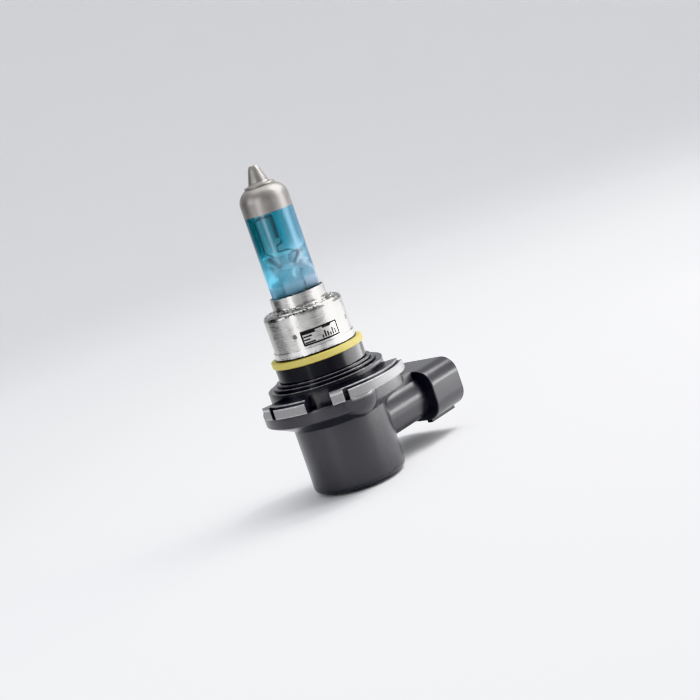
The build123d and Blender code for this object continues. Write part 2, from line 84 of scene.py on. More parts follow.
def piece_from(name, verts, faces):
    """A mesh piece with its faces turned outwards."""
    mesh = bpy.data.meshes.new(name)
    mesh.from_pydata([tuple(v) for v in verts], [], faces)
    mesh.validate()
    bm = bmesh.new()
    bm.from_mesh(mesh)
    bmesh.ops.recalc_face_normals(bm, faces=bm.faces)
    bm.to_mesh(mesh)
    bm.free()
    mesh.shade_smooth()
    obj = bpy.data.objects.new(name, mesh)
    bpy.context.scene.collection.objects.link(obj)
    return obj


def drawn_wire(name, path, radius, sides):
    """A round wire along a list of points, closed flat at both ends."""
    verts = []
    side = None
    for i, p in enumerate(path):
        ahead = (path[min(i + 1, len(path) - 1)] - path[max(i - 1, 0)]).normalized()
        if side is None:
            side = ahead.orthogonal().normalized()
        side = (side - ahead * side.dot(ahead)).normalized()
        up = ahead.cross(side)
        for k in range(sides):
            turn = 2 * pi * k / sides
            verts.append(p + (side * cos(turn) + up * sin(turn)) * radius)
    faces = []
    for i in range(len(path) - 1):
        for k in range(sides):
            a = i * sides + k
            b = i * sides + (k + 1) % sides
            faces.append((a, b, b + sides, a + sides))
    faces.append(tuple(range(sides))[::-1])
    faces.append(tuple(range(len(verts) - sides, len(verts))))
    return piece_from(name, verts, faces)


def across_pinch(across, z, depth=0.0):
    """A point at a distance across the pinch, and at a depth behind its middle plane."""
    x = across * cos(pinch_turn) - depth * sin(pinch_turn)
    y = across * sin(pinch_turn) + depth * cos(pinch_turn)
    return Vector((x, y, z))


coil_start = coil_low.z + foot_leg
coil_end = coil_high.z - top_leg
coil_path = [across_pinch(coil_r, coil_low.z), across_pinch(coil_r, coil_start - foot_leg * leg_turn_in)]
for i in range(coil_turns * steps_per_turn + 1):
    turn = 2 * pi * i / steps_per_turn
    z = coil_start + (coil_end - coil_start) * i / (coil_turns * steps_per_turn)
    coil_path.append(across_pinch(coil_r * cos(turn), z, coil_r * sin(turn)))
coil_path += [across_pinch(coil_r, coil_end + top_leg * leg_turn_in), across_pinch(coil_r, coil_high.z)]
filament = drawn_wire("filament", coil_path, coil_wire_r, sides=10)


def new_surface(name, colour, roughness, metallic=0.0):
    """A material with its node tree and its shader, ready for detail."""
    made = bpy.data.materials.new(name)
    made.use_nodes = True
    tree = made.node_tree
    shader = tree.nodes["Principled BSDF"]
    shader.inputs["Base Color"].default_value = (*colour, 1)
    shader.inputs["Roughness"].default_value = roughness
    shader.inputs["Metallic"].default_value = metallic
    return made, tree, shader


def place_mm(tree, stretch=(1, 1, 1)):
    """The place on the piece in millimetres, stretched along the axes."""
    coords = tree.nodes.new("ShaderNodeTexCoord")
    scale = tree.nodes.new("ShaderNodeVectorMath")
    scale.operation = "MULTIPLY"
    scale.inputs[1].default_value = tuple(1000 * s for s in stretch)
    tree.links.new(coords.outputs["Object"], scale.inputs[0])
    return scale.outputs["Vector"]


def grain(tree, place, per_mm, detail=3.0, rough=0.55):
    """A noise with so many features per millimetre, as a value from 0 to 1."""
    noise = tree.nodes.new("ShaderNodeTexNoise")
    noise.inputs["Scale"].default_value = per_mm
    noise.inputs["Detail"].default_value = detail
    noise.inputs["Roughness"].default_value = rough
    tree.links.new(place, noise.inputs["Vector"])
    return noise.outputs["Fac"]


def spread(tree, value, low, high, socket=None, start=0.25, end=0.75):
    """A value spread between two limits, and linked to a socket if one is given."""
    reach = tree.nodes.new("ShaderNodeMapRange")
    reach.inputs["From Min"].default_value = start
    reach.inputs["From Max"].default_value = end
    reach.inputs["To Min"].default_value = low
    reach.inputs["To Max"].default_value = high
    tree.links.new(value, reach.inputs["Value"])
    if socket is not None:
        tree.links.new(reach.outputs["Result"], socket)
    return reach.outputs["Result"]


def blend_colours(tree, value, first, second, socket=None):
    """A colour between two colours by a value, and linked to a socket if one is given."""
    mix = tree.nodes.new("ShaderNodeMix")
    mix.data_type = "RGBA"
    for slot_name, colour in (("A", first), ("B", second)):
        target = [s for s in mix.inputs if s.name == slot_name and s.type == "RGBA"][0]
        if hasattr(colour, "is_output"):
            tree.links.new(colour, target)
        else:
            target.default_value = (*colour, 1)
    tree.links.new(value, mix.inputs["Factor"])
    out = [s for s in mix.outputs if s.type == "RGBA"][0]
    if socket is not None:
        tree.links.new(out, socket)
    return out


def relief(tree, shader, height, depth_mm, strength=1.0, before=None):
    """Relief of a depth in millimetres from a height between 0 and 1."""
    bump = tree.nodes.new("ShaderNodeBump")
    bump.inputs["Strength"].default_value = strength
    bump.inputs["Distance"].default_value = depth_mm * mm
    tree.links.new(height, bump.inputs["Height"])
    if before is not None:
        tree.links.new(before, bump.inputs["Normal"])
    tree.links.new(bump.outputs["Normal"], shader.inputs["Normal"])
    return bump.outputs["Normal"]


tungsten, tree, shader = new_surface("drawn_tungsten", (0.1, 0.1, 0.11), 0.4, 0.9)
mottle = grain(tree, place_mm(tree), 9)
blend_colours(tree, mottle, (0.09, 0.09, 0.1), (0.26, 0.25, 0.24), shader.inputs["Base Color"])
spread(tree, mottle, 0.25, 0.45, shader.inputs["Roughness"])
relief(tree, shader, grain(tree, place_mm(tree), 30), depth_mm=0.01)
filament.data.materials.append(tungsten)
finish_piece(filament, 60, "tungsten", "filament_coil")

# --- Supports, foils and leads ----------------------------------------------
# Two drawn molybdenum wires carry the filament and end on thin foils in the
# pinch, where the quartz seals on them. Two outer leads go on to the blades.

moly, tree, shader = new_surface("drawn_molybdenum", (0.24, 0.24, 0.25), 0.35, 0.95)
streaks = grain(tree, place_mm(tree, (6, 6, 0.7)), 1.5)
blend_colours(tree, streaks, (0.14, 0.14, 0.15), (0.34, 0.33, 0.32), shader.inputs["Base Color"])
spread(tree, streaks, 0.25, 0.5, shader.inputs["Roughness"])
relief(tree, shader, streaks, depth_mm=0.01)

foil_metal, tree, shader = new_surface("rolled_foil", (0.5, 0.49, 0.47), 0.3, 1.0)
creases = grain(tree, place_mm(tree, (1, 1, 3)), 1.2, 5)
blend_colours(tree, creases, (0.36, 0.35, 0.34), (0.6, 0.58, 0.55), shader.inputs["Base Color"])
spread(tree, creases, 0.2, 0.45, shader.inputs["Roughness"])
relief(tree, shader, creases, depth_mm=0.04)


def dress(node, surface):
    """Gives a piece as designed its finished surface."""
    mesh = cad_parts[node].data
    for i in range(len(mesh.materials)):
        mesh.materials[i] = surface


for side in ("long", "short"):
    dress(side + "_support_wire", moly)
    dress("lead_" + side + "_side", moly)
    dress("foil_" + side + "_side", foil_metal)

# --- Quartz capsule ---------------------------------------------------------
# Fused quartz tube, domed over and drawn off at the exhaust tip, pressed flat
# at the foot. One wall all round a gas space with a funnel and a small well.

glass_low, glass_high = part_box("glass_capsule")
tube_r = glass_high.x
tube_wall = 1.1 * mm
tip_z = glass_high.z
dome_z = tip_z - 8.5 * mm
step_z = tip_z - 5.0 * mm
step_r = 3.45 * mm
tip_base_r = 2.25 * mm
tip_top_r = 0.95 * mm
round_z = 22.6 * mm
flat_z = 17.4 * mm
flat_half = 1.6 * mm
flat_square = 5
round_square = 2
foot_edge_r = 0.35 * mm
pad_half = 1.6 * mm
pad_rise = 0.5 * mm
pad_edge = 0.5 * mm
pad_foot_z = 12.5 * mm
swell_steps = 14
dome_steps = 12
bead_r = 0.24 * mm
shoulder_drop = 0.3 * mm
spout_height = 3.6 * mm
spout_flare = 0.12 * mm
spout_edge_x = 0.37 * mm
spout_edge_z = 0.42 * mm
foot_z = glass_low.z
around = 96


def ease(t):
    """A smooth step from 0 to 1."""
    t = min(max(t, 0.0), 1.0)
    return t * t * (3 - 2 * t)


def capsule_rows():
    """Rows up the outside of the capsule: height, half width, half thickness, squareness, pad."""
    rows = []
    for i in range(3):
        edge = sin(i * pi / 6)
        inset = foot_edge_r * (1 - sqrt(max(0, 1 - (1 - edge) ** 2)))
        rows.append((foot_z + foot_edge_r * edge / 2, tube_r - inset, flat_half - inset, flat_square, 0))
    rows.append((foot_z + 0.5 * mm, tube_r, flat_half, flat_square, 0))
    rows.append((pad_foot_z, tube_r, flat_half, flat_square, 0))
    for i in range(1, 4):
        rows.append((pad_foot_z + i * 0.2 * mm, tube_r, flat_half, flat_square, ease(i / 3)))
    rows.append((flat_z - 0.8 * mm, tube_r, flat_half, flat_square, 1))
    for i in range(swell_steps + 1):
        t = i / swell_steps
        z = flat_z - 0.3 * mm + (round_z + 0.3 * mm - flat_z) * t
        half = flat_half + (tube_r - flat_half) * ease(t)
        square = flat_square - (flat_square - round_square) * ease(t * 1.15)
        rows.append((z, tube_r, half, square, 1 - ease(t * 2.2)))
    for z in (26, 30, 34, 37):
        rows.append((z * mm, tube_r, tube_r, round_square, 0))
    run, rise = tube_r - step_r, step_z - dome_z
    dome_r = (run * run + rise * rise) / (2 * run)
    sweep = atan2(rise, dome_r - run)
    for i in range(dome_steps + 1):
        a = sweep * i / dome_steps
        r = tube_r - dome_r + dome_r * cos(a)
        rows.append((dome_z + dome_r * sin(a), r, r, round_square, 0))
    for i in range(1, 7):
        a = -pi / 3 + i * (5 * pi / 6) / 6
        r = step_r - 0.05 * mm + bead_r * cos(a)
        rows.append((step_z + bead_r * (1 + sin(a)), r, r, round_square, 0))
    neck_z = step_z + 2.2 * bead_r
    for i in range(1, 8):
        t = i / 7
        r = step_r - shoulder_drop + (tip_base_r - step_r + shoulder_drop) * sin(t * pi / 2)
        z = neck_z + (tip_z - spout_height - neck_z) * (1 - cos(t * pi / 2))
        rows.append((z, r, r, round_square, 0))
    for t in (0.2, 0.45, 0.7, 0.86):
        r = tip_base_r + (tip_top_r + spout_flare - tip_base_r) * t
        rows.append((tip_z - spout_height * (1 - t), r, r, round_square, 0))
    for i in range(1, 6):
        a = i * pi / 12
        r = tip_top_r - (spout_edge_x - spout_flare) + spout_edge_x * cos(a)
        rows.append((tip_z - spout_edge_z + spout_edge_z * sin(a), r, r, round_square, 0))
    return rows


def ring_of(row):
    """The points round one row of the capsule."""
    z, width, half, square, pad = row
    points = []
    for k in range(around):
        turn = 2 * pi * (k + 0.5) / around
        c, s = cos(turn), sin(turn)
        x = width * (1 if c > 0 else -1) * abs(c) ** (2 / square)
        y = half * (1 if s > 0 else -1) * abs(s) ** (2 / square)
        y += (1 if s > 0 else -1) * pad_rise * pad * (1 - ease((abs(x) - pad_half) / pad_edge + 0.5))
        points.append(across_pinch(x, z, y))
    return points


def skin(rings, start_index=0):
    """Faces between rows of equal length, without the ends."""
    faces = []
    count = len(rings[0])
    for i in range(len(rings) - 1):
        for k in range(count):
            a = start_index + i * count + k
            b = start_index + i * count + (k + 1) % count
            faces.append((a, b, b + count, a + count))
    return faces


def cap_with_point(verts, ring_start, count, point, faces):
    """Closes a row with a fan to one point."""
    verts.append(point)
    top = len(verts) - 1
    for k in range(count):
        faces.append((ring_start + k, ring_start + (k + 1) % count, top))


def round_ring(radius, z, count=around):
    """Points on a level circle."""
    turns = [2 * pi * k / count for k in range(count)]
    return [Vector((radius * cos(turn), radius * sin(turn), z)) for turn in turns]


outer = [ring_of(row) for row in capsule_rows()]
glass_verts = [p for points in outer for p in points]
glass_faces = skin(outer)
cap_with_point(glass_verts, 0, around, Vector((0, 0, foot_z)), glass_faces)
top_start = (len(outer) - 1) * around
cap_with_point(glass_verts, top_start, around, Vector((0, 0, tip_z)), glass_faces)

inner_r = tube_r - tube_wall
hollow_top = tip_z - 5.7 * mm
well_r = 1.3 * mm
well_floor = 18.8 * mm
well_top = 20.4 * mm
funnel_r = 1.5 * mm
funnel_z = 21.1
funnel_rise = 3.9
rim_r = 1.6 * mm
rim_z = 25.6 * mm
vault_r = 2.2 * mm
hollow = [(well_r * 0.7, well_floor), (well_r, well_floor + 0.3 * mm)]
hollow += [(well_r, well_top), (1.45 * mm, 21.0 * mm)]
for t in (0.15, 0.4, 0.65):
    hollow.append((funnel_r + t * (inner_r - funnel_r), (funnel_z + t * funnel_rise) * mm))
for i in range(5):
    a = -pi / 4 + i * pi / 16
    hollow.append((inner_r - rim_r + rim_r * cos(a), rim_z + rim_r * sin(a)))
for z in (28, 32, 36):
    hollow.append((inner_r, z * mm))
for i in range(9):
    a = i * pi / 16
    hollow.append((inner_r - vault_r + vault_r * cos(a), hollow_top - vault_r + vault_r * sin(a)))
hollow_rings = [round_ring(r, z) for r, z in hollow]
first = len(glass_verts)
glass_verts += [p for points in hollow_rings for p in points]
hollow_faces = skin(hollow_rings, first)
cap_with_point(glass_verts, first, around, Vector((0, 0, well_floor)), hollow_faces)
last_ring = first + (len(hollow_rings) - 1) * around
cap_with_point(glass_verts, last_ring, around, Vector((0, 0, hollow_top)), hollow_faces)
capsule = piece_from("quartz_capsule", glass_verts, glass_faces + hollow_faces)
bm = bmesh.new()
bm.from_mesh(capsule.data)
bm.faces.ensure_lookup_table()
bmesh.ops.recalc_face_normals(bm, faces=bm.faces[: len(glass_faces)])
bmesh.ops.recalc_face_normals(bm, faces=bm.faces[len(glass_faces):])
bmesh.ops.reverse_faces(bm, faces=bm.faces[len(glass_faces):])
bm.to_mesh(capsule.data)
bm.free()


def let_lamps_through(tree, shader, amount):
    """Glass that doesn't shut the lamps out of what it holds."""
    out = tree.nodes["Material Output"]
    path = tree.nodes.new("ShaderNodeLightPath")
    clear = tree.nodes.new("ShaderNodeBsdfTransparent")
    clear.inputs["Color"].default_value = (amount, amount, amount, 1)
    mix = tree.nodes.new("ShaderNodeMixShader")
    tree.links.new(path.outputs["Is Shadow Ray"], mix.inputs["Fac"])
    tree.links.new(shader, mix.inputs[1])
    tree.links.new(clear.outputs["BSDF"], mix.inputs[2])
    tree.links.new(mix.outputs["Shader"], out.inputs["Surface"])


frosted_below = 21.5
clear_above = 26.0
quartz, tree, shader = new_surface("fused_quartz", (0.97, 0.985, 0.99), 0.0)
shader.inputs["Transmission Weight"].default_value = 1.0
shader.inputs["IOR"].default_value = 1.46
place = place_mm(tree)
drawing_lines = grain(tree, place_mm(tree, (1, 1, 0.15)), 1.1, 2)
relief(tree, shader, drawing_lines, depth_mm=0.02, strength=0.5)
height = tree.nodes.new("ShaderNodeSeparateXYZ")
tree.links.new(place, height.inputs["Vector"])
spread(tree, height.outputs["Z"], 0.3, 0.0, shader.inputs["Roughness"], start=frosted_below, end=clear_above)
let_lamps_through(tree, shader.outputs["BSDF"], 0.95)
capsule.data.materials.append(quartz)
finish_piece(capsule, 50, "quartz", "glass_capsule")

# --- Coats on the glass -----------------------------------------------------
# A blue interference coat is dipped onto the tube, thin and milky at its foot. Its
# tint carries a painted sheen, paler towards the right-hand lamps, and painted shade,
# deeper teal on the far side. A grey heat-proof coat covers the dome and the tip.

coat_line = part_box("blue_coating")[1].z
blue_foot = 15.0 * mm
coat_gap = 0.02 * mm
coat_face = 0.09 * mm
# Painted sheen and painted shade: the coat's tint is painted paler on the side towards the right-hand lamps
# and deeper teal on the far side.
sheen_azimuth = radians(-47)
painted_shade_side = -5.4
painted_sheen_side = 5.6


def coat_shell(name, low_z, high_z, closed_top):
    """A thin closed shell that lies on the capsule between two heights."""
    rows = capsule_rows()
    kept = []
    for i, row in enumerate(rows):
        if low_z < row[0] < high_z:
            kept.append(row)
        nxt = rows[i + 1] if i + 1 < len(rows) else None
        for limit in (low_z, high_z):
            if nxt and row[0] < limit < nxt[0]:
                t = (limit - row[0]) / (nxt[0] - row[0])
                kept.append(tuple(a + (b - a) * t for a, b in zip(row, nxt)))
    kept.sort(key=lambda row: row[0])
    rings = [ring_of(row) for row in kept]
    spine = [Vector((0, 0, row[0])) for row in kept]

    def pushed(distance):
        """The rows, moved off the glass by a distance."""
        out = []
        for i, points in enumerate(rings):
            below, above = rings[max(i - 1, 0)], rings[min(i + 1, len(rings) - 1)]
            for k, p in enumerate(points):
                along = above[k] - below[k]
                round_it = points[(k + 1) % around] - points[k - 1]
                normal = round_it.cross(along).normalized()
                if normal.dot(p - spine[i]) < 0 and abs(normal.z) < 0.9:
                    normal = -normal
                out.append(p + normal * distance)
        return out

    verts = pushed(coat_gap) + pushed(coat_face)
    half = len(rings) * around
    faces = skin(rings) + skin(rings, half)
    for k in range(around):
        nxt = (k + 1) % around
        faces.append((k, nxt, half + nxt, half + k))
    top = (len(rings) - 1) * around
    if closed_top:
        peak = kept[-1][0]
        cap_with_point(verts, top, around, Vector((0, 0, peak + coat_gap)), faces)
        cap_with_point(verts, half + top, around, Vector((0, 0, peak + coat_face)), faces)
    else:
        for k in range(around):
            nxt = (k + 1) % around
            faces.append((top + k, top + nxt, half + top + nxt, half + top + k))
    return piece_from(name, verts, faces)


blue_shell = coat_shell("blue_coat", blue_foot, coat_line, False)
blue_film = bpy.data.materials.new("blue_interference_coat")
blue_film.use_nodes = True
tree = blue_film.node_tree
tree.nodes.remove(tree.nodes["Principled BSDF"])
tint = tree.nodes.new("ShaderNodeBsdfTransparent")
clouds = grain(tree, place_mm(tree, (1, 1, 0.6)), 0.35, 2)
height = tree.nodes.new("ShaderNodeSeparateXYZ")
tree.links.new(place_mm(tree), height.inputs["Vector"])
upper = spread(tree, height.outputs["Z"], 0.0, 1.0, start=19.0, end=29.0)
# The mask runs across the coat from the shaded side to the side towards the lamps, for the painted sheen.
toward_sheen = tree.nodes.new("ShaderNodeVectorMath")
toward_sheen.operation = "DOT_PRODUCT"
toward_sheen.inputs[1].default_value = (cos(sheen_azimuth), sin(sheen_azimuth), 0)
tree.links.new(place_mm(tree), toward_sheen.inputs[0])
aside = spread(tree, toward_sheen.outputs["Value"], 0.0, 1.0, start=painted_shade_side, end=painted_sheen_side)
# Painted shade and painted sheen: the first tint is the deeper teal of the shaded side, the second the paler
# tint lit by the right-hand lamps.
thick = blend_colours(tree, clouds, (0.14, 0.56, 0.59), (0.2, 0.61, 0.63))
sheen_side_tint = blend_colours(tree, clouds, (0.58, 0.83, 0.88), (0.64, 0.84, 0.93))
deep = blend_colours(tree, aside, thick, sheen_side_tint)
pale = blend_colours(tree, aside, (0.52, 0.74, 0.8), (0.92, 0.94, 0.98))
blend_colours(tree, upper, pale, deep, tint.inputs["Color"])
milk = tree.nodes.new("ShaderNodeBsdfTranslucent")
milk.inputs["Color"].default_value = (0.74, 0.87, 0.95, 1)
milky = tree.nodes.new("ShaderNodeMixShader")
spread(tree, height.outputs["Z"], 0.2, 0.02, milky.inputs["Fac"], start=19.0, end=27.0)
tree.links.new(tint.outputs["BSDF"], milky.inputs[1])
tree.links.new(milk.outputs["BSDF"], milky.inputs[2])
sheen = tree.nodes.new("ShaderNodeBsdfGlossy")
sheen.inputs["Roughness"].default_value = 0.3
blend_colours(tree, clouds, (0.72, 0.86, 1.0), (0.86, 0.84, 1.0), sheen.inputs["Color"])
edge = tree.nodes.new("ShaderNodeFresnel")
edge.inputs["IOR"].default_value = 1.8
from_outside = tree.nodes.new("ShaderNodeNewGeometry")
outer_only = tree.nodes.new("ShaderNodeMath")
outer_only.operation = "SUBTRACT"
outer_only.use_clamp = True
tree.links.new(edge.outputs["Fac"], outer_only.inputs[0])
tree.links.new(from_outside.outputs["Backfacing"], outer_only.inputs[1])
film_mix = tree.nodes.new("ShaderNodeMixShader")
tree.links.new(outer_only.outputs["Value"], film_mix.inputs["Fac"])
tree.links.new(milky.outputs["Shader"], film_mix.inputs[1])
tree.links.new(sheen.outputs["BSDF"], film_mix.inputs[2])
tree.links.new(film_mix.outputs["Shader"], tree.nodes["Material Output"].inputs["Surface"])
blue_shell.data.materials.append(blue_film)
finish_piece(blue_shell, 50, "blue_coat", "blue_coating")

above_tip = tip_z + 1 * mm
cap_shell = coat_shell("cap_coat", coat_line, above_tip, True)
cap_grey, tree, shader = new_surface("satin_grey_coat", (0.3, 0.29, 0.28), 0.4, 0.7)
speckle = grain(tree, place_mm(tree), 7, 4)
patches = grain(tree, place_mm(tree), 0.5, 2)
tone = blend_colours(tree, patches, (0.24, 0.228, 0.222), (0.36, 0.34, 0.322))
blend_colours(tree, speckle, tone, (0.29, 0.275, 0.262), shader.inputs["Base Color"])
spread(tree, speckle, 0.34, 0.46, shader.inputs["Roughness"])
relief(tree, shader, grain(tree, place_mm(tree), 14, 3), depth_mm=0.012)
cap_shell.data.materials.append(cap_grey)
finish_piece(cap_shell, 50, "cap_coat", "cap_coating")

# --- Clamp and cup ----------------------------------------------------------
# A spring band grips the pinch and lies with its ears on a stamped cup. Both
# are thin steel strip, bright where the rollers went.

strip_steel, tree, shader = new_surface("rolled_strip", (0.55, 0.54, 0.52), 0.3, 1.0)
rolled = grain(tree, place_mm(tree, (0.4, 5, 5)), 2.5, 4)
blend_colours(tree, rolled, (0.4, 0.39, 0.38), (0.66, 0.65, 0.63), shader.inputs["Base Color"])
spread(tree, rolled, 0.22, 0.42, shader.inputs["Roughness"])
relief(tree, shader, rolled, depth_mm=0.01)
dress("pinch_clamp", strip_steel)
dress("holder_cup", strip_steel)

# --- Collar -----------------------------------------------------------------
# Deep-drawn stainless can with a neck round the glass. Drawing leaves fine
# lines round it. It is spot-welded to the ring, with an ink panel of bars.

collar_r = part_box("capsule_collar")[1].x
shoulder_z = 11.6
neck_bore = 6.4
heat_half = 1.3
weld_mark_r = 0.85
weld_core_r = 0.35


def round_place(tree, radius, along_scale, up_scale):
    """A place that runs round a turned piece and up it, in millimetres."""
    place = place_mm(tree)
    parts = tree.nodes.new("ShaderNodeSeparateXYZ")
    tree.links.new(place, parts.inputs["Vector"])
    angle = tree.nodes.new("ShaderNodeMath")
    angle.operation = "ARCTAN2"
    tree.links.new(parts.outputs["Y"], angle.inputs[0])
    tree.links.new(parts.outputs["X"], angle.inputs[1])
    arc = tree.nodes.new("ShaderNodeMath")
    arc.operation = "MULTIPLY"
    arc.inputs[1].default_value = radius / mm * along_scale
    tree.links.new(angle.outputs["Value"], arc.inputs[0])
    up = tree.nodes.new("ShaderNodeMath")
    up.operation = "MULTIPLY"
    up.inputs[1].default_value = up_scale
    tree.links.new(parts.outputs["Z"], up.inputs[0])
    joined = tree.nodes.new("ShaderNodeCombineXYZ")
    tree.links.new(arc.outputs["Value"], joined.inputs["X"])
    tree.links.new(up.outputs["Value"], joined.inputs["Y"])
    return joined.outputs["Vector"]


def from_axis(tree, place):
    """The distance from the bulb's axis in millimetres."""
    level = tree.nodes.new("ShaderNodeVectorMath")
    level.operation = "MULTIPLY"
    level.inputs[1].default_value = (1, 1, 0)
    tree.links.new(place, level.inputs[0])
    length = tree.nodes.new("ShaderNodeVectorMath")
    length.operation = "LENGTH"
    tree.links.new(level.outputs["Vector"], length.inputs[0])
    return length.outputs["Value"]


def height_of(tree, place):
    """The height of a place in millimetres."""
    parts = tree.nodes.new("ShaderNodeSeparateXYZ")
    tree.links.new(place, parts.inputs["Vector"])
    return parts.outputs["Z"]


def combine(tree, kind, first, second):
    """Two values joined by a sum, a product or the like."""
    made = tree.nodes.new("ShaderNodeMath")
    made.operation = kind
    for i, value in enumerate((first, second)):
        if hasattr(value, "is_output"):
            tree.links.new(value, made.inputs[i])
        else:
            made.inputs[i].default_value = value
    return made.outputs["Value"]


def hump(tree, value, middle, half):
    """1 where a value is at a middle, and 0 beyond a half width."""
    off = combine(tree, "ABSOLUTE", combine(tree, "SUBTRACT", value, middle), 0)
    return spread(tree, off, 1.0, 0.0, start=half * 0.35, end=half)


def drawn_steel(name, radius, dark, light, smooth, rough, oxide_at, shaded_inside_of, welds=()):
    """Bright steel with fine lines round it, heat patches, weld marks, and painted shade inside its bore."""
    made, tree, shader = new_surface(name, light, rough, 1.0)
    place = place_mm(tree)
    lines = grain(tree, round_place(tree, radius, 0.12, 9), 1.0, 5, 0.6)
    blotches = grain(tree, place, 0.55, 4, 0.6)
    tone = blend_colours(tree, lines, dark, light)
    tarnish = tuple(c * k for c, k in zip(dark, (0.7, 0.68, 0.66)))
    share = spread(tree, blotches, 0.0, 0.5, start=0.48, end=0.72)
    worn = blend_colours(tree, share, tone, tarnish)
    height, radial = height_of(tree, place), from_axis(tree, place)
    spots = spread(tree, grain(tree, place, 1.5, 3, 0.7), 0.0, 1.0, start=0.46, end=0.6)
    heat = combine(tree, "MULTIPLY", spots, hump(tree, height, oxide_at, heat_half))
    for weld in welds:
        off = tree.nodes.new("ShaderNodeVectorMath")
        off.operation = "DISTANCE"
        off.inputs[1].default_value = tuple(c / mm for c in weld)
        tree.links.new(place, off.inputs[0])
        burn = spread(tree, off.outputs["Value"], 0.8, 0.0, start=weld_core_r, end=weld_mark_r)
        heat = combine(tree, "MAXIMUM", heat, burn)
    heated = blend_colours(tree, heat, worn, (0.07, 0.068, 0.06))
    # Painted shade: inside the bore radius the steel is painted near black, standing in for the shade within
    # the neck.
    painted_bore_shade = spread(tree, radial, 1.0, 0.0, start=shaded_inside_of - 0.12, end=shaded_inside_of + 0.05)
    blend_colours(tree, painted_bore_shade, heated, (0.06, 0.058, 0.055), shader.inputs["Base Color"])
    spread(tree, lines, smooth, rough, shader.inputs["Roughness"])
    first = relief(tree, shader, lines, depth_mm=0.012)
    relief(tree, shader, blotches, depth_mm=0.05, strength=0.6, before=first)
    return made


weld_first = 20
weld_z = 6.0 * mm
weld_angles = [radians(weld_first + 90 * i) for i in range(4)]
weld_marks = [Vector((collar_r * cos(a), collar_r * sin(a), weld_z)) for a in weld_angles]
dark_steel = (0.42, 0.415, 0.405)
light_steel = (0.66, 0.65, 0.63)
collar_steel = drawn_steel(
    "deep_drawn_steel", collar_r, dark_steel, light_steel, 0.18, 0.36, shoulder_z, neck_bore, weld_marks
)
dress("capsule_collar", collar_steel)


def curved_plate(verts, faces, radius, thick, angles, heights, columns):
    """A thin closed plate that lies on a cylinder, between two angles and two heights."""
    first = len(verts)
    for r in (radius, radius + thick):
        for z in heights:
            for i in range(columns + 1):
                a = angles[0] + (angles[1] - angles[0]) * i / columns
                verts.append(Vector((r * cos(a), r * sin(a), z)))
    row = columns + 1
    under, over = first, first + 2 * row
    for i in range(columns):
        faces.append((under + i, under + i + 1, under + row + i + 1, under + row + i))
        faces.append((over + i, over + i + 1, over + row + i + 1, over + row + i))
        faces.append((under + i, under + i + 1, over + i + 1, over + i))
        faces.append((under + row + i, under + row + i + 1, over + row + i + 1, over + row + i))
    for end in (0, columns):
        faces.append((under + end, under + row + end, over + row + end, over + end))


panel_middle = radians(236.5)
panel_half = 4.8 * mm
panel_low = 3.2 * mm
panel_high = 6.8 * mm
line = 0.42 * mm
tick = 0.38 * mm
rule = 0.36 * mm
ink_gap = 0.015 * mm
ink_thick = 0.03 * mm
bar_step = 0.35 * mm
bars = [
    (-panel_half, panel_half, panel_low, panel_low + line),
    (-panel_half, panel_half, panel_high - line, panel_high),
    (-panel_half, -panel_half + line, panel_low + line, panel_high - line),
    (panel_half - line, panel_half, panel_low + line, panel_high - line),
]
bars.append((-panel_half, -1.2 * mm, panel_high - 0.95 * mm, panel_high - line))
bars.append((0.6 * mm, 2.9 * mm, panel_high - 0.8 * mm, panel_high - line))
for i, length in enumerate((2.6, 1.5, 2.1)):
    z = panel_low + (0.5 + 0.72 * i) * mm
    bars.append((-4.3 * mm, (-4.3 + length) * mm, z, z + rule))
for i in range(6):
    x = (0.1 + 0.68 * i) * mm
    top = panel_low + (1.3 + 0.45 * (i * 2 % 3)) * mm
    bars.append((x, x + tick, panel_low + 0.6 * mm, top))
mark_verts = []
mark_faces = []
for start, end, low, high in bars:
    angles = (panel_middle + start / collar_r, panel_middle + end / collar_r)
    columns = max(1, ceil((end - start) / bar_step))
    curved_plate(mark_verts, mark_faces, collar_r + ink_gap, ink_thick, angles, (low, high), columns)
mark = piece_from("ink_panel", mark_verts, mark_faces)
ink, tree, shader = new_surface("fired_ink", (0.02, 0.02, 0.02), 0.9)
shader.inputs["Specular IOR Level"].default_value = 0.15
wear = grain(tree, place_mm(tree), 3, 5)
blend_colours(tree, wear, (0.012, 0.012, 0.014), (0.05, 0.048, 0.045), shader.inputs["Base Color"])
spread(tree, wear, 0.8, 0.95, shader.inputs["Roughness"])
relief(tree, shader, wear, depth_mm=0.005)
mark.data.materials.append(ink)
finish_piece(mark, 30, "black_plastic")

# --- Base ring --------------------------------------------------------------
# Turned steel ring, moulded into the plastic up to its flange. Its upright
# wall stands inside the collar, and its flange is the bright edge below it.

ring_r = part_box("base_ring")[1].x
flange_z = 0.5
ring_bore = 8.6
ring_steel = drawn_steel(
    "turned_ring_steel", ring_r, (0.55, 0.54, 0.53), (0.8, 0.79, 0.78), 0.14, 0.28, flange_z, ring_bore
)
dress("base_ring", ring_steel)

# --- Lead sleeves -----------------------------------------------------------
# Two short silicone tubes slipped over the leads keep them apart in the bore.

sleeve_silicone, tree, shader = new_surface("sleeve_silicone", (0.7, 0.69, 0.64), 0.6)
dust = grain(tree, place_mm(tree), 4, 4)
blend_colours(tree, dust, (0.6, 0.59, 0.54), (0.76, 0.75, 0.7), shader.inputs["Base Color"])
relief(tree, shader, dust, depth_mm=0.01)
for side in ("long", "short"):
    dress("sleeve_" + side + "_side", sleeve_silicone)

# --- Blades -----------------------------------------------------------------
# Two brass strips, cut and tinned, with a tab for the lead's weld at one end
# and a chamfered tip in the socket at the other. They are moulded in.

